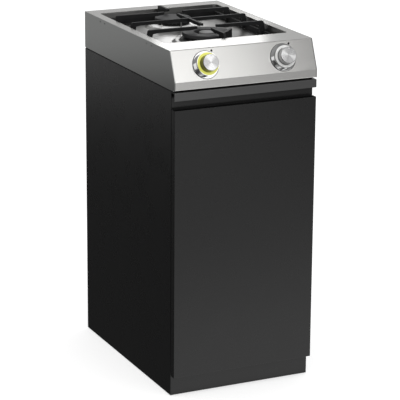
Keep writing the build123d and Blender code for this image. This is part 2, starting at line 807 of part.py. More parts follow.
# Sunk pan: flange under the worktop, drafted walls, rounded floor edge, and a pressed boss
# under each burner with a hole for the burner's cup
with BuildPart() as hob_pan:
    outer_grow = 2 * (pan_fit + pan_sheet)
    with BuildSketch(Plane.XY.offset(rim_under)):
        with Locations((0, well_y)):
            RectangleRounded(well_width + outer_grow, well_length + outer_grow, well_corner + outer_grow / 2)
    extrude(amount=pan_floor - pan_sheet - rim_under, taper=well_draft)
    fillet(hob_pan.edges().group_by(Axis.Z)[0], pan_floor_bend + pan_sheet)
    with BuildSketch(Plane.XY.offset(rim_under)):
        with Locations((0, well_y)):
            RectangleRounded(well_width + 2 * pan_fit, well_length + 2 * pan_fit, well_corner + pan_fit)
    extrude(amount=pan_floor - rim_under, taper=well_draft, mode=Mode.SUBTRACT)
    fillet(hob_pan.edges().filter_by_position(Axis.Z, pan_floor - pan_fit, pan_floor + pan_fit),
           pan_floor_bend)
    with BuildSketch(Plane.XY.offset(rim_under)):
        with Locations((0, well_y)):
            RectangleRounded(well_width + 2 * pan_flange, well_length + 2 * pan_flange, well_corner)
            RectangleRounded(well_width + 2 * pan_sheet, well_length + 2 * pan_sheet,
                             well_corner, mode=Mode.SUBTRACT)
    extrude(amount=-pan_sheet)
    for burner, boss_radius, cup_radius in ((rear_burner, rear_boss_radius, rear_cup_radius),
                                            (front_burner, front_boss_radius, front_cup_radius)):
        post(*burner, pan_floor - pan_sheet, pan_floor, boss_radius + boss_foot / 2, mode=Mode.SUBTRACT)
        with BuildSketch(section_at(*burner)):
            with BuildLine():
                FilletPolyline((boss_radius + boss_foot, pan_floor), (boss_radius, pan_floor),
                               (boss_radius - boss_run, boss_top),
                               (cup_radius + cup_hole_margin, boss_top), radius=boss_bend)
                offset(amount=pan_sheet, side=Side.LEFT)
            make_face()
        revolve(axis=Axis((*burner, 0), (0, 0, 1)))
    drill_pins(pan_floor, flame_top)
save(hob_pan.part, "hob_pan")

# Gas valves stand square to the fascia. Each holds the spindle that its knob turns and a
# plunger that the spindle pushes, with the flame failure magnet on its back end.
valve_front = hob_sheet + valve_gap
valve_face = valve_front + valve_neck
valve_back = valve_face + valve_depth
spindle_bore = spindle_in_valve + knob_push + sheet_fit
plunger_bore = spindle_in_valve + plunger_length + knob_push + sheet_fit
knob_low = bezel_flange + knob_push + knob_floor_gap


def valve(side, name):
    with BuildPart() as body:
        with BuildSketch(knob_plane(side, -valve_front)):
            Circle(valve_neck_radius)
        extrude(amount=-valve_neck)
        with BuildSketch(knob_plane(side, -valve_face)):
            Rectangle(valve_width, valve_body)
        extrude(amount=-valve_depth)
        with BuildSketch(knob_plane(side, -valve_back)):
            Circle(magnet_radius)
        extrude(amount=-magnet_length)
        with BuildSketch(knob_plane(side, -valve_front)):
            Circle(spindle_radius + spindle_running)
        extrude(amount=valve_front - spindle_bore, mode=Mode.SUBTRACT)
        with BuildSketch(knob_plane(side, -valve_front)):
            Circle(plunger_radius + plunger_running)
        extrude(amount=valve_front - plunger_bore, mode=Mode.SUBTRACT)
    save(body.part, name)


def rod(side, outer_end, length, radius, name):
    """A round rod on a knob's axis, from a height above the fascia inwards."""
    with BuildPart() as bar:
        with BuildSketch(knob_plane(side, outer_end)):
            Circle(radius)
        extrude(amount=-length)
    save(bar.part, name)


def bezel(side, name):
    with BuildPart() as cup:
        with BuildSketch(knob_plane(side, 0)):
            Circle(bezel_radius)
        extrude(amount=bezel_flange)
        chamfer(cup.faces().sort_by(Axis(knob_centre(side), fascia_out))[-1].edges(), bezel_chamfer)
        with BuildSketch(knob_plane(side, 0)):
            Circle(bezel_wall_radius)
        extrude(amount=bezel_height)
        with BuildSketch(knob_plane(side, bezel_flange)):
            Circle(bezel_wall_radius - bezel_wall)
        extrude(amount=bezel_height, mode=Mode.SUBTRACT)
        with BuildSketch(knob_plane(side, 0)):
            Circle(spindle_hole_radius)
        extrude(amount=bezel_flange, mode=Mode.SUBTRACT)
    save(cup.part, name)


def light_ring(side, name):
    with BuildPart() as ring:
        with BuildSketch(knob_plane(side, bezel_flange)):
            Circle(bezel_wall_radius - bezel_wall - light_fit)
            Circle(knob_radius + light_knob_gap, mode=Mode.SUBTRACT)
        extrude(amount=bezel_height - bezel_flange)
    save(ring.part, name)


def knob(side, name):
    with BuildPart() as grip:
        with BuildSketch(knob_plane(side, knob_low)):
            Circle(knob_radius)
        extrude(amount=knob_height - knob_low)
        fillet(grip.faces().sort_by(Axis(knob_centre(side), fascia_out))[-1].edges(), knob_edge)
        with BuildSketch(knob_plane(side, knob_low)):
            Circle(spindle_radius)
        extrude(amount=spindle_in_knob, mode=Mode.SUBTRACT)
    save(grip.part, name)


for side, word in ((-1, "left"), (1, "right")):
    bezel(side, f"{word}_bezel")
    light_ring(side, f"{word}_light_ring")
    knob(side, f"{word}_knob")
    valve(side, f"{word}_gas_valve")
    rod(side, knob_low + spindle_in_knob, knob_low + spindle_in_knob + spindle_in_valve,
        spindle_radius, f"{word}_spindle")
    rod(side, -spindle_in_valve, plunger_length, plunger_radius, f"{word}_valve_plunger")

# Manifold: a square bar under the valves
with BuildPart() as manifold:
    with BuildSketch(Plane((-manifold_end, manifold_axis.Y, manifold_axis.Z),
                           x_dir=fascia_up, z_dir=(1, 0, 0))):
        Rectangle(manifold_size, manifold_size)
    extrude(amount=2 * manifold_end)
save(manifold.part, "manifold")

# Gas inlet: a pipe from the manifold's end to the back, with a nut and a thread that stands in
# the back sheet's cut-out
inlet_end = back - inlet_end_gap
inlet_nut_back = inlet_end - inlet_thread_length
inlet_pipe = tube([(manifold_end, manifold_axis.Y, manifold_axis.Z),
                   (inlet_x, manifold_axis.Y, manifold_axis.Z),
                   (inlet_x, inlet_nut_back, manifold_axis.Z)], inlet_bend, inlet_pipe_radius)
with BuildPart() as gas_inlet:
    add(inlet_pipe)
    with BuildSketch(section_at(inlet_x, inlet_nut_back)):
        with Locations((0, manifold_axis.Z)):
            RegularPolygon(inlet_nut_flats / 2, 6, major_radius=False)
    extrude(amount=inlet_nut_height)
    with BuildSketch(section_at(inlet_x, inlet_end)):
        with Locations((0, manifold_axis.Z)):
            Circle(inlet_thread_radius)
            Circle(inlet_bore_radius, mode=Mode.SUBTRACT)
    extrude(amount=inlet_thread_length)
save(gas_inlet.part, "gas_inlet")

# Gas pipes: two to the front burner, one to the rear burner, level from behind the valves
arm_z = (knob_centre(1) - fascia_out * (valve_back + pipe_start)).Z
front_arm_x = -front_cup_radius - arm_length
rear_arm_x = rear_cup_radius + arm_length


def gas_pipe(side, step, arm_x, arm_y):
    start = knob_centre(side) - fascia_out * valve_back + Vector(step * outlet_offset, 0, 0)
    turn = start - fascia_out * pipe_start
    return tube([tuple(start), tuple(turn), (start.X, arm_y, arm_z), (arm_x, arm_y, arm_z)],
                pipe_bend, pipe_radius)


front_pipes = [gas_pipe(-1, -row, front_arm_x, front_burner[1] + row * arm_spacing / 2)
               for row in (-1, 1)]
rear_pipe = gas_pipe(1, -1, rear_arm_x, rear_burner[1])
with BuildPart() as gas_pipes:
    add(front_pipes)
    add(rear_pipe)
save(gas_pipes.part, "gas_pipes")

# Burner bases: a bright flange on the pan's boss, a cup through the pan, arms for the gas pipes
cup_low = arm_z - arm_radius - cup_wall


def burner_base(burner, base_radius, cup_radius, arms, name):
    with BuildPart() as base:
        with Locations((*burner, boss_top)):
            Cone(base_radius, base_radius - base_slope, base_rise,
                 align=(Align.CENTER, Align.CENTER, Align.MIN))
        post(*burner, cup_low, boss_top, cup_radius)
        for direction, row in arms:
            start = burner[0] + direction * (cup_radius - cup_wall)
            with BuildSketch(Plane((start, burner[1] + row * arm_spacing / 2, arm_z),
                                   x_dir=(0, 1, 0), z_dir=(direction, 0, 0))):
                Circle(arm_radius)
            extrude(amount=arm_length + cup_wall)
        post(*burner, cup_low + cup_wall, base_top, cup_radius - cup_wall, mode=Mode.SUBTRACT)
        drill_pins(pan_floor, flame_top)
    save(base.part, name)


burner_base(rear_burner, rear_base_radius, rear_cup_radius, ((1, 0),), "rear_burner_base")
burner_base(front_burner, front_base_radius, front_cup_radius, ((-1, -1), (-1, 1)),
            "front_burner_base")


# Flame heads: a web over the cup, walls with flame ports open at the top, and a skirt down
# into the cup. Each wall is given by its outer radius and its number of ports.

def flame_head(burner, walls, cup_radius, feeds, name):
    skirt_radius = cup_radius - cup_wall - flame_skirt_fit
    with BuildPart() as head:
        with BuildSketch(Plane.XY.offset(base_top + flame_web)):
            with Locations(burner):
                for radius, ports in walls:
                    Circle(radius)
                    Circle(radius - flame_wall, mode=Mode.SUBTRACT)
        extrude(amount=flame_height - flame_web)
        with BuildSketch(Plane.XY.offset(flame_top)):
            with Locations(burner):
                for radius, ports in walls:
                    with PolarLocations(radius - flame_wall / 2, ports):
                        Rectangle(flame_wall + 2 * cap_key_depth, flame_port_width)
        extrude(amount=-flame_port_depth, mode=Mode.SUBTRACT)
        with BuildSketch(Plane.XY.offset(base_top)):
            with Locations(burner):
                Circle(walls[0][0])
                Circle(flame_throat, mode=Mode.SUBTRACT)
                if feeds:
                    with PolarLocations((walls[0][0] - flame_wall + walls[1][0]) / 2, feeds):
                        Circle(flame_feed_radius, mode=Mode.SUBTRACT)
        extrude(amount=flame_web)
        with BuildSketch(Plane.XY.offset(base_top)):
            with Locations(burner):
                Circle(skirt_radius)
                Circle(skirt_radius - cup_wall, mode=Mode.SUBTRACT)
        extrude(amount=-flame_skirt)
    save(head.part, name)


flame_head(rear_burner, ((rear_flame_radius, rear_port_count),), rear_cup_radius, 0, "rear_flame_head")
flame_head(front_burner, ((front_flame_radius, front_port_count),
                          (outer_flame_bore + flame_wall, bore_port_count),
                          (inner_flame_radius, inner_port_count)),
           front_cup_radius, flame_feed_count, "front_flame_head")


# Burner caps: enamelled discs with a rounded upper edge and a locating rib underneath

def burner_cap(burner, radius, bore, rib_radius, name):
    with BuildPart() as cap:
        post(*burner, flame_top, flame_top + cap_thickness, radius)
        if bore:
            post(*burner, flame_top, flame_top + cap_thickness, bore, mode=Mode.SUBTRACT)
        fillet(cap.edges().group_by(Axis.Z)[-1], cap_edge)
        with BuildSketch(Plane.XY.offset(flame_top)):
            with Locations(burner):
                Circle(rib_radius)
                Circle(rib_radius - cap_key_wall, mode=Mode.SUBTRACT)
        extrude(amount=-cap_key_depth)
    save(cap.part, name)


burner_cap(rear_burner, rear_cap_radius, 0, rear_flame_radius - flame_wall - cap_key_fit,
           "rear_burner_cap")
burner_cap(front_burner, front_cap_radius, front_cap_bore,
           front_flame_radius - flame_wall - cap_key_fit, "front_outer_cap")
burner_cap(front_burner, inner_cap_radius, 0, inner_flame_radius - flame_wall - cap_key_fit,
           "front_inner_cap")

# Injectors, electrodes in their ceramic sleeves, and thermocouples
with BuildPart() as injectors:
    for x, y in (rear_burner, front_burner, (front_burner[0] - second_jet_x, front_burner[1])):
        post(x, y, cup_low + cup_wall, cup_low + cup_wall + jet_height, jet_radius)
save(injectors.part, "injectors")

with BuildPart() as electrode_sleeves:
    for x, y in (rear_electrode, front_electrode):
        post(x, y, pin_low, sleeve_top, sleeve_radius)
        post(x, y, pin_low, sleeve_top, electrode_radius, mode=Mode.SUBTRACT)
save(electrode_sleeves.part, "electrode_sleeves")

with BuildPart() as electrodes:
    for x, y in (rear_electrode, front_electrode):
        post(x, y, pin_low, electrode_top, electrode_radius)
save(electrodes.part, "electrodes")

with BuildPart() as thermocouples:
    for x, y in (rear_thermocouple, front_thermocouple):
        post(x, y, pin_low, thermocouple_top, thermocouple_radius)
    fillet(thermocouples.edges().group_by(Axis.Z)[-1], thermocouple_radius / 2)
save(thermocouples.part, "thermocouples")

# Spark generator and battery case on the base tray
tray_top = hob_bottom + cabinet_sheet
igniter_right = igniter_side_gap + igniter_width - hob_half
igniter_y = front + igniter_front
with BuildPart() as spark_generator:
    block((igniter_right - igniter_width, igniter_right), (igniter_y, igniter_y + igniter_depth),
          (tray_top, tray_top + igniter_height))
save(spark_generator.part, "spark_generator")

with BuildPart() as battery_case:
    battery_right = hob_half - battery_side_gap
    battery_y = front + battery_front
    block((battery_right - battery_width, battery_right), (battery_y, battery_y + battery_depth),
          (tray_top, tray_top + battery_height))
save(battery_case.part, "battery_case")

# Ignition leads from the electrodes to the spark generator
lead_x = igniter_right - igniter_width / 4
rear_lead = tube([(*rear_electrode, pin_low), (*rear_electrode, igniter_lead_z),
                  (igniter_right, rear_electrode[1], igniter_lead_z)], lead_bend, lead_radius)
front_lead = tube([(*front_electrode, pin_low), (*front_electrode, igniter_lead_z),
                   (lead_x, front_electrode[1], igniter_lead_z),
                   (lead_x, igniter_y, igniter_lead_z)], lead_bend, lead_radius)
with BuildPart() as ignition_leads:
    add([rear_lead, front_lead])
save(ignition_leads.part, "ignition_leads")


# Thermocouple leads from the burners to the magnets on the valves

def sensor_lead(thermocouple, side, lead_y, lead_z):
    magnet = knob_centre(side) - fascia_out * (valve_back + magnet_length)
    turn = magnet - fascia_out * magnet_length
    return tube([(*thermocouple, pin_low), (*thermocouple, lead_z),
                 (thermocouple[0], front + lead_y, lead_z), (magnet.X, front + lead_y, lead_z),
                 tuple(turn), tuple(magnet)], lead_bend, lead_radius)


rear_sensor_lead = sensor_lead(rear_thermocouple, 1, rear_sensor_lead_y, rear_sensor_lead_z)
front_sensor_lead = sensor_lead(front_thermocouple, -1, front_sensor_lead_y, front_sensor_lead_z)
with BuildPart() as thermocouple_leads:
    add([rear_sensor_lead, front_sensor_lead])
save(thermocouple_leads.part, "thermocouple_leads")

# Pan support: one casting. A frame of rails stands on the pan's floor on four pads. Legs rise
# from it to three cross bars and three fingers. The front finger ends in a hook.
frame_low = pan_floor + frame_lift
frame_half = well_width / 2 - frame_edge_gap
frame_front = well_front + frame_edge_gap
frame_back = well_back - frame_edge_gap
leg_inner = frame_half - leg_width
tip_low = bar_top - tip_depth
haunch_low = bar_low - haunch_drop
leg_knee = bar_top - leg_knee_drop
with BuildPart() as pan_support:
    with BuildSketch(Plane.XY.offset(frame_low)):
        with Locations((0, (frame_front + frame_back) / 2)):
            RectangleRounded(2 * frame_half, frame_back - frame_front, frame_corner)
            RectangleRounded(2 * (frame_half - bar_width), frame_back - frame_front - 2 * bar_width,
                             frame_corner - bar_width / 2, mode=Mode.SUBTRACT)
    extrude(amount=frame_height)
    for side in (-1, 1):
        for y in (front_bar_y, rear_bar_y):
            post(side * (frame_half - bar_width / 2), front + y, pan_floor, frame_low,
                 frame_pad_radius)
        for y in (front_bar_y, mid_bar_y, rear_bar_y):
            with BuildSketch(section_at(0, front + y + bar_width / 2)) as bar_section:
                with BuildLine():
                    Polyline((side * bar_gap, bar_top), (side * bar_reach, bar_top),
                             (side * frame_half, leg_knee), (side * frame_half, frame_low),
                             (side * leg_inner, frame_low),
                             (side * leg_inner, haunch_low - haunch_rise),
                             (side * (bar_reach - haunch_run), haunch_low),
                             (side * (bar_reach - 2 * haunch_run), bar_low),
                             (side * (bar_gap + tip_run), bar_low), (side * bar_gap, tip_low),
                             close=True)
                make_face()
                fillet(bar_section.vertices().sort_by_distance((side * bar_reach, bar_top, 0))[0],
                       bar_corner)
            extrude(amount=bar_width)
    block((-bar_gap - tip_run, bar_gap + tip_run),
          (front + mid_bar_y - bar_width / 2, front + mid_bar_y + bar_width / 2), (bar_low, bar_top))
    with BuildSketch(Plane.YZ) as finger_section:
        with BuildLine():
            Polyline((front + mid_finger_front, bar_top), (front + mid_finger_back, bar_top),
                     (front + mid_finger_back, tip_low), (front + mid_finger_back - tip_run, bar_low),
                     (front + mid_finger_front + tip_run, bar_low),
                     (front + mid_finger_front, tip_low), close=True)
        make_face()
        with BuildLine():
            Polyline((front + rear_finger_tip, bar_top), (front + rear_finger_end, bar_top),
                     (front + rear_finger_end, bar_top - rear_finger_depth),
                     (frame_back, leg_knee), (frame_back, frame_low),
                     (frame_back - leg_width, frame_low), (frame_back - leg_width, leg_knee),
                     (frame_back - leg_width - tip_run, bar_top - rear_finger_depth),
                     (front + rear_finger_tip, tip_low), close=True)
        make_face()
        with BuildLine():
            Polyline((front + front_finger_tip, bar_top), (front + front_finger_end, bar_top),
                     (frame_front, leg_knee), (frame_front, frame_low),
                     (frame_front + leg_width, frame_low), (frame_front + leg_width, leg_knee),
                     (front + front_finger_end + tip_run, bar_low),
                     (front + front_finger_tip - tip_run, bar_low),
                     (front + front_finger_tip, tip_low), close=True)
        make_face()
        fillet(finger_section.vertices().sort_by_distance((front + rear_finger_end, bar_top, 0))[0],
               bar_corner)
    extrude(amount=bar_width / 2, both=True)
    with BuildSketch(Plane.XY.offset(base_top + hook_clearance)):
        with BuildLine():
            hook_start = front + front_finger_end + bar_width / 2
            FilletPolyline((0, hook_start + tip_run), (0, hook_start), (hook_x, front + hook_y),
                           radius=hook_bend)
            offset(amount=bar_width / 2, side=Side.BOTH)
        make_face()
    extrude(amount=bar_top - base_top - hook_clearance)
save(pan_support.part, "pan_support")
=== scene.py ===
import json
import math

import bmesh
import bpy
from mathutils import Matrix, Vector


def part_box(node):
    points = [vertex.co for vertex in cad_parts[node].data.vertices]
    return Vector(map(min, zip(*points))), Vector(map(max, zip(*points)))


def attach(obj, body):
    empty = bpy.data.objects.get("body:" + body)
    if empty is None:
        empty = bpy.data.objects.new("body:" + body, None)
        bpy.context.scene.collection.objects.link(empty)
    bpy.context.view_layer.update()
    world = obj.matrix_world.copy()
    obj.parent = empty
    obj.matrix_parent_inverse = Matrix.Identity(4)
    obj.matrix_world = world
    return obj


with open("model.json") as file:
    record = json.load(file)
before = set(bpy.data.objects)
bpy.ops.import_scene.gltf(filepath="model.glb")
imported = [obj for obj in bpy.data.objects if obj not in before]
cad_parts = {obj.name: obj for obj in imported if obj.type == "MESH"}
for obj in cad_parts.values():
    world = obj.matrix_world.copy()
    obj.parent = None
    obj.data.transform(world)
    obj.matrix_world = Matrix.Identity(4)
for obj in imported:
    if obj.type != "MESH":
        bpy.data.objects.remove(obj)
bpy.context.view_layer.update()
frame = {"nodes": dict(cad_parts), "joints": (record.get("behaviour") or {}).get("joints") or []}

NODES = frame["nodes"]
JOINTS = {joint["name"]: joint for joint in frame["joints"]}
SCENE = bpy.context.scene

# Places from the frame, in metres: the door's face, the steel rim, and each knob's centre on the fascia
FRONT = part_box("door_skin")[0].y
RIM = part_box("worktop")[1].z
SIDES = ("left", "right")
KNOB_CENTRE = {side: Vector(JOINTS[f"{side}_turn"]["pos_m"]) for side in SIDES}

# Directions on the slanted fascia: out of it, and right and up along it
OUT = Vector(JOINTS["left_turn"]["axis"]).normalized()
RIGHT = Vector((1.0, 0.0, 0.0))
UP = OUT.cross(RIGHT)
X_AXIS, Y_AXIS = 0, 1

# A knob's radius, and how far its face stands out from the fascia
KNOB_RADIUS = 0.0213
KNOB_FACE = 0.0345

# The photograph's camera, fitted to the module's edges: a long lens, left of the front and a little above
AZIMUTH = math.radians(-25.34)
ELEVATION = math.radians(16.36)
ROLL = math.radians(0.41)
CAMERA_AT = Vector((-2.2060, -4.66928, 1.9543))
LENS_MM = 179.6
SENSOR_MM = 36.0

WHITE = (1.0, 1.0, 1.0, 1.0)

# Sockets of a Mix node by number, because its names repeat
MIX_FACTOR = 0
FLOAT_A, FLOAT_B, FLOAT_RESULT = 2, 3, 0
COLOR_A, COLOR_B, COLOR_RESULT = 6, 7, 2


# Camera and view
def add_camera():
    forward = Vector((-math.sin(AZIMUTH) * math.cos(ELEVATION),
                      math.cos(AZIMUTH) * math.cos(ELEVATION),
                      -math.sin(ELEVATION)))
    level = forward.cross(Vector((0.0, 0.0, 1.0))).normalized()
    upright = level.cross(forward).normalized()
    right = level * math.cos(ROLL) + upright * math.sin(ROLL)
    up = upright * math.cos(ROLL) - level * math.sin(ROLL)
    data = bpy.data.cameras.new("camera")
    data.sensor_width = SENSOR_MM
    data.lens = LENS_MM
    data.clip_start = 0.1
    data.clip_end = 200.0
    camera = bpy.data.objects.new("camera", data)
    turn = Matrix((right, up, -forward)).transposed()
    camera.matrix_world = Matrix.Translation(CAMERA_AT) @ turn.to_4x4()
    SCENE.collection.objects.link(camera)
    SCENE.camera = camera


add_camera()
SCENE.view_settings.view_transform = "Standard"
SCENE.view_settings.look = "None"


# Shader nodes
def feed(tree, node, sources):
    """Link each named or numbered input to another node's output, or set it to a plain value."""
    for socket, source in sources.items():
        if isinstance(source, bpy.types.NodeSocket):
            tree.links.new(source, node.inputs[socket])
        else:
            node.inputs[socket].default_value = source
    return node


def position(tree):
    """Where a point of the piece is at rest, in metres."""
    return tree.nodes.new("ShaderNodeTexCoord").outputs["Object"]


def drawn_out(tree, axis, factor):
    """The position with one axis scaled down, on which a noise becomes streaks along that axis."""
    scale = [1.0, 1.0, 1.0]
    scale[axis] = factor
    mapping = tree.nodes.new("ShaderNodeMapping")
    return feed(tree, mapping, {"Vector": position(tree), "Scale": scale}).outputs["Vector"]


def component(tree, vector, axis):
    return feed(tree, tree.nodes.new("ShaderNodeSeparateXYZ"), {"Vector": vector}).outputs[axis]


def noise(tree, vector, scale, detail, rough=0.55):
    """A noise from 0 to 1, with its scale in waves per metre."""
    node = tree.nodes.new("ShaderNodeTexNoise")
    feed(tree, node, {"Vector": vector, "Scale": scale, "Detail": detail, "Roughness": rough})
    return node.outputs["Fac"]


def spread(tree, value, low, high, start=0.3, end=0.7, smooth=False):
    """Low where the value is at start, high where it is at end, and level beyond them.

    The start and end given here are for a noise, which lies mostly between them.
    """
    node = tree.nodes.new("ShaderNodeMapRange")
    node.interpolation_type = "SMOOTHSTEP" if smooth else "LINEAR"
    feed(tree, node, {"Value": value, "From Min": start, "From Max": end, "To Min": low, "To Max": high})
    return node.outputs["Result"]


def opaque(color):
    """A colour with full alpha. Another node's output stays as it is."""
    return color if isinstance(color, bpy.types.NodeSocket) else (*color, 1.0)


def tint(tree, value, dark, light):
    """The dark colour where the value is 0 and the light one where it is 1."""
    node = tree.nodes.new("ShaderNodeMix")
    node.data_type = "RGBA"
    feed(tree, node, {MIX_FACTOR: value, COLOR_A: opaque(dark), COLOR_B: opaque(light)})
    return node.outputs[COLOR_RESULT]


def calculate(tree, operation, first, second):
    node = tree.nodes.new("ShaderNodeMath")
    node.operation = operation
    return feed(tree, node, {0: first, 1: second}).outputs["Value"]


def vector_node(tree, operation, sources):
    node = tree.nodes.new("ShaderNodeVectorMath")
    node.operation = operation
    return feed(tree, node, sources)


def bump(tree, shader, height, strength, distance):
    """Raise the surface by a height from 0 to 1, with the distance in metres."""
    node = tree.nodes.new("ShaderNodeBump")
    feed(tree, node, {"Height": height, "Strength": strength, "Distance": distance})
    feed(tree, shader, {"Normal": node.outputs["Normal"]})


def grey(shade):
    return (shade, shade, shade)


def scaled(color, factor):
    return tuple(min(c * factor, 1.0) for c in color)


def material(name, color, roughness, metallic=0.0, specular=0.5):
    """A plain surface for the finishes to work on: the material, its node tree and its shader."""
    mat = bpy.data.materials.new(name)
    mat.use_nodes = True
    tree = mat.node_tree
    shader = tree.nodes["Principled BSDF"]
    feed(tree, shader, {"Base Color": opaque(color), "Roughness": roughness, "Metallic": metallic,
                        "Specular IOR Level": specular})
    return mat, tree, shader


# Finishes
def mottled(name, color, roughness, cloud, shades, sheen, grain, relief, metallic=0.0, specular=0.5):
    """Slow clouds of shade and sheen over a fine grain.

    cloud and grain are noises, as scale, detail and sometimes roughness. shades are the darkest and lightest,
    as factors of the colour, sheen is how far the roughness goes either way, and relief is the grain's
    strength and depth.
    """
    mat, tree, shader = material(name, color, roughness, metallic, specular)
    at = position(tree)
    drift = noise(tree, at, *cloud)
    darkest, lightest = (scaled(color, shade) for shade in shades)
    feed(tree, shader, {"Base Color": tint(tree, spread(tree, drift, 0.0, 1.0), darkest, lightest),
                        "Roughness": spread(tree, drift, roughness - sheen, roughness + sheen)})
    bump(tree, shader, noise(tree, at, *grain), *relief)
    return mat


def powder_coat(name, color, roughness):
    return mottled(name, color, roughness, cloud=(14.0, 3.0), shades=(0.93, 1.07), sheen=0.03,
                   grain=(1400.0, 2.0), relief=(0.22, 0.0002))


def cast(name, color, roughness, grain=700.0, strength=0.35, specular=0.45):
    return mottled(name, color, roughness, cloud=(40.0, 3.0), shades=(0.8, 1.25), sheen=0.06,
                   grain=(grain, 4.0, 0.6), relief=(strength, 0.0006), specular=specular)


def polished(name, color, roughness, grain=500.0, strength=0.03, metallic=1.0):
    return mottled(name, color, roughness, cloud=(45.0, 3.0), shades=(0.97, 1.03), sheen=0.02,
                   grain=(grain, 2.0), relief=(strength, 0.0002), metallic=metallic)


def moulded(name, color, roughness):
    return mottled(name, color, roughness, cloud=(60.0, 2.0), shades=(0.92, 1.08), sheen=0.04,
                   grain=(900.0, 2.0), relief=(0.08, 0.0002))


def brushed(name, color, roughness, along, strength, contrast, painted_rim_highlight=None):
    """Brushed sheet: fine streaks along one axis, slow changes of sheen, and a painted highlight, a lighter
    colour, on its top edge.
    """
    mat, tree, shader = material(name, color, roughness, metallic=1.0)
    sheen = 0.02
    fine = noise(tree, drawn_out(tree, along, factor=0.012), scale=1900.0, detail=2.0)
    slow = noise(tree, drawn_out(tree, along, factor=0.15), scale=60.0, detail=2.0)
    both = calculate(tree, "MULTIPLY", calculate(tree, "ADD", fine, slow), 0.5)
    darkest, lightest = scaled(color, 1 - contrast), scaled(color, 1 + contrast)
    streaks = tint(tree, spread(tree, both, 0.0, 1.0), darkest, lightest)
    # Painted highlight: a lighter colour on the sheet's top edge, from 0.6 mm to 0.3 mm below the rim
    if painted_rim_highlight:
        height = component(tree, position(tree), "Z")
        painted_highlight_band = spread(tree, height, 0.0, 1.0, start=RIM - 0.0006, end=RIM - 0.0003)
        streaks = tint(tree, painted_highlight_band, streaks, painted_rim_highlight)
    feed(tree, shader, {"Base Color": streaks,
                        "Roughness": spread(tree, both, roughness - sheen, roughness + sheen)})
    bump(tree, shader, fine, strength, distance=0.0001)
    return mat


def satin_rail_with_painted_shade(name, color, roughness):
    """Satin anodised rail, with painted shade that darkens it deep in its finger recess."""
    mat, tree, shader = material(name, color, roughness, metallic=0.5)
    at = position(tree)
    # Painted shade: the colour falls to a quarter from 3 mm to 12 mm behind the door's face, in the finger
    # recess
    painted_recess_shade = spread(tree, component(tree, at, "Y"), 0.0, 1.0, start=FRONT + 0.003, end=FRONT + 0.012)
    feed(tree, shader, {"Base Color": tint(tree, painted_recess_shade, color, scaled(color, factor=0.25))})
    bump(tree, shader, noise(tree, at, scale=900.0, detail=2.0), strength=0.03, distance=0.0002)
    return mat


def turned(name, color, centre, painted_highlight_wedge, painted_side_shade):
    """A lathe-turned knob, with fine rings on its face.

    A wedge above 0 paints highlights on its face above and below the centre, and one below 0 paints them at
    the sides.
    The side shade paints shade on its round side.
    """
    mat, tree, shader = material(name, color, roughness=0.22, metallic=1.0)
    from_centre = vector_node(tree, "SUBTRACT", {0: position(tree), 1: centre}).outputs["Vector"]
    around = vector_node(tree, "CROSS_PRODUCT", {0: OUT, 1: from_centre}).outputs["Vector"]
    radius = vector_node(tree, "LENGTH", {0: around}).outputs["Value"]
    grooves = tree.nodes.new("ShaderNodeTexNoise")
    grooves.noise_dimensions = "1D"
    rings = feed(tree, grooves, {"W": radius, "Scale": 2600.0, "Detail": 2.0}).outputs["Fac"]

    # The tangent runs round the knob, along the rings
    tangent = tree.nodes.new("ShaderNodeVectorTransform")
    tangent.vector_type = "VECTOR"
    tangent.convert_from = "OBJECT"
    tangent.convert_to = "WORLD"
    feed(tree, tangent, {"Vector": around})
    feed(tree, shader, {"Tangent": tangent.outputs["Vector"], "Anisotropic": 0.8})

    # Painted highlights: the wedges follow how much of the way from the centre is up or down, from 0 to 1
    squares = []
    for axis in (RIGHT, UP):
        along = vector_node(tree, "DOT_PRODUCT", {0: from_centre, 1: axis}).outputs["Value"]
        squares.append(calculate(tree, "MULTIPLY", along, along))
    upright_share = calculate(tree, "DIVIDE", squares[1], calculate(tree, "ADD", *squares))
    painted_highlight_wedges = spread(tree, upright_share, 1 - painted_highlight_wedge, 1 + painted_highlight_wedge, start=0.2, end=0.8)
    # Painted shade darkens the knob's round side
    painted_side_shading = spread(tree, radius, 1.0, painted_side_shade, start=KNOB_RADIUS - 0.0004, end=KNOB_RADIUS - 0.0001)
    shade = calculate(tree, "MULTIPLY", painted_highlight_wedges, painted_side_shading)
    ringed = tint(tree, spread(tree, rings, 0.0, 1.0), scaled(color, 0.94), scaled(color, 1.05))
    shaded = vector_node(tree, "SCALE", {0: ringed, "Scale": shade}).outputs["Vector"]
    feed(tree, shader, {"Base Color": shaded})
    bump(tree, shader, rings, strength=0.06, distance=0.0001)
    return mat


def glowing(name, color, strength):
    mat, tree, shader = material(name, color, roughness=0.3)
    drift = noise(tree, position(tree), scale=120.0, detail=2.0)
    feed(tree, shader, {"Base Color": tint(tree, spread(tree, drift, 0.0, 1.0), scaled(color, 0.92), color),
                        "Emission Color": opaque(color), "Emission Strength": strength})
    return mat


# What each piece is made of
BLACK = (0.0045, 0.0045, 0.0046)
STEEL = (0.62, 0.615, 0.60)
SHADED_STEEL = (0.31, 0.316, 0.308)
# A lighter steel for the painted highlight on the side sheets' top edge
PAINTED_HIGHLIGHT_STEEL = (0.56, 0.56, 0.55)
LIT_YELLOW = (0.62, 0.62, 0.12)

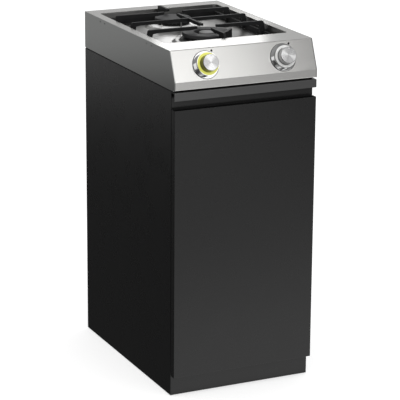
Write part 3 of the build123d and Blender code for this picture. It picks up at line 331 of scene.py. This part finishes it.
coat = powder_coat("black_powder_coat", BLACK, 0.28)
rail_coat = satin_rail_with_painted_shade("satin_black_rail", grey(0.10), 0.22)
top_steel = brushed("brushed_steel_across", STEEL, 0.25, X_AXIS, strength=0.03, contrast=0.02)
side_steel = brushed("brushed_steel_along", SHADED_STEEL, 0.15, Y_AXIS, strength=0.04, contrast=0.03,
                     painted_rim_highlight=PAINTED_HIGHLIGHT_STEEL)
pan_steel = polished("polished_pan", (0.30, 0.298, 0.293), 0.33, grain=60.0, strength=0.01)
iron = cast("enamelled_iron", (0.010, 0.010, 0.0105), 0.55, specular=0.25)
cap_enamel = cast("cap_enamel", (0.032, 0.032, 0.033), 0.60, grain=900.0, strength=0.2, specular=0.3)
inner_cap_enamel = cast("inner_cap_enamel", grey(0.13), 0.5, grain=900.0, strength=0.2, specular=0.3)
head_alloy = cast("burner_alloy", grey(0.018), 0.5, grain=800.0, strength=0.25, specular=0.2)
bright_alloy = polished("bright_alloy", (0.97, 0.97, 0.96), 0.28, metallic=0.25)
black_alloy = cast("black_alloy", grey(0.016), 0.42, grain=800.0, strength=0.2, specular=0.25)
chrome = polished("chrome", grey(0.72), 0.06)
zinc = polished("zinc", (0.55, 0.55, 0.54), 0.3)
brass = polished("brass", (0.62, 0.46, 0.20), 0.25)
rubber = moulded("rubber", grey(0.02), 0.7)
plastic = moulded("black_plastic", grey(0.025), 0.5)
white_plastic = moulded("white_plastic", (0.62, 0.62, 0.60), 0.4)
ceramic = moulded("white_ceramic", (0.80, 0.79, 0.76), 0.25)
lead_skin = moulded("lead_skin", (0.06, 0.03, 0.025), 0.5)
black_screw = polished("black_screw", grey(0.08), 0.35)
lit_lens = glowing("lit_lens", LIT_YELLOW, 0.5)
clear_lens = moulded("clear_lens", (0.92, 0.92, 0.91), 0.2)
# Both knobs are one turned metal; their greys, painted highlight wedges and painted side shade differ by how
# the light falls on each
left_metal = turned("turned_metal_left", grey(0.56), KNOB_CENTRE["left"], painted_highlight_wedge=0.24, painted_side_shade=0.2)
right_metal = turned("turned_metal_right", grey(0.70), KNOB_CENTRE["right"], painted_highlight_wedge=-0.32, painted_side_shade=0.42)
white_paint = moulded("white_paint", grey(0.85), 0.3)
# Black paint for the index dots, also used for the painted shadow round the bezels
black_paint_and_painted_shadow = cast("black_paint_and_painted_shadow", grey(0.006), 0.7, specular=0.1)

FINISH = {
    coat: ("left_side_panel right_side_panel plinth base_panel back_panel front_crossmember "
           "rear_crossmember door_skin door_liner"),
    rail_coat: "grip_rail",
    top_steel: "worktop hob_back",
    side_steel: "hob_left_side hob_right_side hob_base_tray",
    pan_steel: "hob_pan",
    iron: "pan_support",
    cap_enamel: "rear_burner_cap front_outer_cap",
    inner_cap_enamel: "front_inner_cap",
    head_alloy: "rear_flame_head front_flame_head",
    bright_alloy: "rear_burner_base",
    black_alloy: "front_burner_base",
    chrome: "left_bezel right_bezel",
    zinc: ("upper_hinge_leaf lower_hinge_leaf hinge_pins hinge_blocks foot_nuts catch_keeper left_spindle "
           "right_spindle left_valve_plunger right_valve_plunger electrodes thermocouples manifold "
           "gas_inlet gas_pipes"),
    brass: "left_gas_valve right_gas_valve injectors",
    rubber: "seating_gasket hose_grommet door_bumpers",
    plastic: "levelling_feet magnetic_catch battery_case",
    white_plastic: "spark_generator",
    ceramic: "electrode_sleeves",
    lead_skin: "ignition_leads thermocouple_leads",
    black_screw: "hinge_screws back_panel_screws",
    lit_lens: "left_light_ring",
    clear_lens: "right_light_ring",
    left_metal: "left_knob",
    right_metal: "right_knob",
}
for finish, names in FINISH.items():
    for name in names.split():
        mesh = NODES[name].data
        mesh.materials.clear()
        mesh.materials.append(finish)
        mesh.polygons.foreach_set("use_smooth", [True] * len(mesh.polygons))


# Small marks at the knobs
def at_knob(side, right=0.0, up=0.0, out=0.0):
    """A place by its distances from a knob's centre on the fascia."""
    return KNOB_CENTRE[side] + RIGHT * right + UP * up + OUT * out


def round_mark(name, centre, profile, count, hollow, mat, body):
    """A small shape round a line square to the fascia, with a profile of (height, radius) points.

    A hollow profile closes on itself, and another is closed by a flat face at each end.
    """
    shape = bmesh.new()
    loops = []
    for height, radius in profile:
        turns = (2 * math.pi * i / count for i in range(count))
        loops.append([shape.verts.new(centre + OUT * height
                                      + (RIGHT * math.cos(turn) + UP * math.sin(turn)) * radius)
                      for turn in turns])
    following = loops[1:] + loops[:1] if hollow else loops[1:]
    for low, high in zip(loops, following):
        for i in range(count):
            j = (i + 1) % count
            shape.faces.new((low[i], low[j], high[j], high[i]))
    if not hollow:
        shape.faces.new(loops[-1])
        shape.faces.new(list(reversed(loops[0])))
    bmesh.ops.recalc_face_normals(shape, faces=shape.faces)
    mesh = bpy.data.meshes.new(name)
    shape.to_mesh(mesh)
    shape.free()
    mesh.materials.append(mat)
    obj = bpy.data.objects.new(name, mesh)
    SCENE.collection.objects.link(obj)
    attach(obj, body)


def painted_dot(name, centre, radius, mat, body):
    """A dot of thick paint, with its edge falling away."""
    height = 0.00015
    profile = ((0.0, radius), (0.7 * height, radius), (height, 0.8 * radius))
    round_mark(name, centre, profile, 24, hollow=False, mat=mat, body=body)


def bezel_seal_and_painted_shadow(name, centre, inner, outer, height, mat, body):
    """A thin flat ring on the fascia under a bezel's edge, as a seal and as painted shadow round the bezel.
    """
    profile = ((0.0, inner), (0.0, outer), (height, outer), (height, inner))
    round_mark(name, centre, profile, 72, hollow=True, mat=mat, body=body)


for side in SIDES:
    painted_dot(f"{side}_knob_pointer", at_knob(side, right=0.0029, up=0.0170, out=KNOB_FACE), radius=0.0015,
                mat=white_paint, body=f"{side}_control")
    painted_dot(f"{side}_index_dot", at_knob(side, right=0.0218, up=0.0345), radius=0.0029,
                mat=black_paint_and_painted_shadow, body="cabinet")
# Black rings round the bezels: a seal, and painted shadow where each bezel meets the fascia
for side in SIDES:
    bezel_seal_and_painted_shadow(f"{side}_bezel_seal_and_painted_shadow", at_knob(side), inner=0.0352, outer=0.0363, height=0.0003,
               mat=black_paint_and_painted_shadow, body="cabinet")


# Two floors, one for the camera and one for reflections
def plane(name, half_size, mat):
    mesh = bpy.data.meshes.new(name)
    corners = [(x * half_size, y * half_size, 0.0) for x, y in ((-1, -1), (1, -1), (1, 1), (-1, 1))]
    mesh.from_pydata(corners, [], [(0, 1, 2, 3)])
    mesh.materials.append(mat)
    obj = bpy.data.objects.new(name, mesh)
    SCENE.collection.objects.link(obj)
    return obj


def add_pale_floor():
    """A floor for the camera, almost white, which neither lights the module nor shows in it."""
    mat, tree, shader = material("pale_floor", grey(0.60), roughness=0.9, specular=0.0)
    feed(tree, shader, {"Emission Color": WHITE, "Emission Strength": 0.56})
    floor = plane("floor", half_size=40.0, mat=mat)
    floor.visible_glossy = False
    floor.visible_diffuse = False


def dusk_strength(tree):
    """How brightly a point of the reflected floor glows.

    It is dark near the module and paler further off. In front it is bright, apart from the left, which gives
    the door, the lip and the bezels their tones.
    """
    here = position(tree)
    x = component(tree, here, "X")
    y = component(tree, here, "Y")
    away = vector_node(tree, "LENGTH", {0: here}).outputs["Value"]
    behind = spread(tree, away, 0.06, 0.46, start=2.7, end=4.6, smooth=True)

    by_the_door = spread(tree, y, 0.66, 1.03, start=-1.7, end=-0.6, smooth=True)
    far_ahead = spread(tree, y, 1.6, 1.0, start=-2.95, end=-2.5, smooth=True)
    to_the_right = spread(tree, x, 1.0, 0.40, start=1.2, end=1.6, smooth=True)
    ahead = calculate(tree, "MULTIPLY", calculate(tree, "MULTIPLY", by_the_door, far_ahead), to_the_right)

    past_the_front = spread(tree, y, 1.0, 0.0, start=-0.30, end=-0.235, smooth=True)
    past_the_left = spread(tree, x, 0.0, 1.0, start=-0.45, end=-0.15, smooth=True)
    in_front = calculate(tree, "MULTIPLY", past_the_front, past_the_left)
    either = tree.nodes.new("ShaderNodeMix")
    feed(tree, either, {MIX_FACTOR: in_front, FLOAT_A: behind, FLOAT_B: ahead})
    return either.outputs[FLOAT_RESULT]


def add_dusk_floor():
    """A glowing floor just under the pale one, which only reflections see."""
    mat = bpy.data.materials.new("dusk_floor")
    mat.use_nodes = True
    tree = mat.node_tree
    tree.nodes.remove(tree.nodes["Principled BSDF"])
    glow = feed(tree, tree.nodes.new("ShaderNodeEmission"), {"Strength": dusk_strength(tree)})
    feed(tree, tree.nodes["Material Output"], {"Surface": glow.outputs["Emission"]})
    dusk = plane("dusk_floor", half_size=30.0, mat=mat)
    dusk.location.z = -0.004
    dusk.visible_camera = False
    dusk.visible_diffuse = False
    dusk.visible_transmission = False
    dusk.visible_shadow = False


add_pale_floor()
add_dusk_floor()


# The world: white for the camera, a light sky for lighting and a darker one for reflections
def graded_sky(tree, climb, stops, strength):
    """A background that is grey by how high a ray goes.

    Its stops are pairs of height and shade, from level, at 0, to straight up, at 1.
    """
    ramp = feed(tree, tree.nodes.new("ShaderNodeValToRGB"), {"Fac": climb})
    elements = ramp.color_ramp.elements
    heights, shades = zip(*stops)
    for height in heights[1:-1]:
        elements.new(height)
    for element, shade in zip(elements, shades):
        element.color = opaque(grey(shade))
    background = tree.nodes.new("ShaderNodeBackground")
    feed(tree, background, {"Color": ramp.outputs["Color"], "Strength": strength})
    return background.outputs["Background"]


def choose(tree, question, if_not, if_so):
    """One of two shaders, by what kind of ray is asking."""
    node = tree.nodes.new("ShaderNodeMixShader")
    return feed(tree, node, {"Fac": question, 1: if_not, 2: if_so}).outputs["Shader"]


def add_world():
    world = bpy.data.worlds.new("studio")
    SCENE.world = world
    world.use_nodes = True
    tree = world.node_tree
    white = feed(tree, tree.nodes["Background"], {"Color": WHITE, "Strength": 1.0}).outputs["Background"]
    climb = component(tree, tree.nodes.new("ShaderNodeTexCoord").outputs["Generated"], "Z")
    mirrored = graded_sky(tree, climb, ((0.0, 0.08), (0.3, 0.14), (0.6, 0.36), (1.0, 0.55)),
                          strength=1.0)
    scattered = graded_sky(tree, climb, ((0.0, 0.10), (0.05, 0.30), (0.5, 0.85), (1.0, 1.0)),
                           strength=1.15)
    ray = tree.nodes.new("ShaderNodeLightPath").outputs
    unseen = choose(tree, ray["Is Glossy Ray"], scattered, mirrored)
    feed(tree, tree.nodes["World Output"], {"Surface": choose(tree, ray["Is Camera Ray"], unseen, white)})


add_world()


# Lamps
def softbox(name, at, target, size, power):
    data = bpy.data.lights.new(name, "AREA")
    data.shape = "RECTANGLE"
    data.size, data.size_y = size
    data.energy = power
    lamp = bpy.data.objects.new(name, data)
    lamp.location = at
    lamp.rotation_mode = "QUATERNION"
    lamp.rotation_quaternion = (Vector(target) - Vector(at)).to_track_quat("-Z", "Y")
    lamp.visible_camera = False
    SCENE.collection.objects.link(lamp)
    return lamp


softbox("front_softbox", at=(0.22, -2.2, 1.76), target=(0.22, 0.0, 1.76), size=(1.86, 1.28), power=12.1)
softbox("front_left_softbox", at=(-1.35, -2.0, 1.8), target=(-0.1, -0.3, 0.9), size=(0.8, 1.2), power=3.4)
softbox("back_softbox", at=(0.27, 0.51, 1.225), target=(0.27, 0.0, 1.225), size=(1.06, 0.65), power=0.88)
softbox("back_spot_box", at=(0.27, 0.50, 1.19), target=(0.27, 0.0, 1.19), size=(0.36, 0.26), power=0.50)

# A small lamp low behind the module, which lights only the pan and the rear burner's base ring
pan_lamp = softbox("pan_softbox", at=(0.17, 0.50, 1.05), target=(-0.10, -0.12, 0.885), size=(0.14, 0.07),
                   power=0.17)
lit_by_pan_lamp = bpy.data.collections.new("lit_by_pan_lamp")
for name in ("hob_pan", "rear_burner_base"):
    lit_by_pan_lamp.objects.link(NODES[name])
pan_lamp.light_linking.receiver_collection = lit_by_pan_lamp
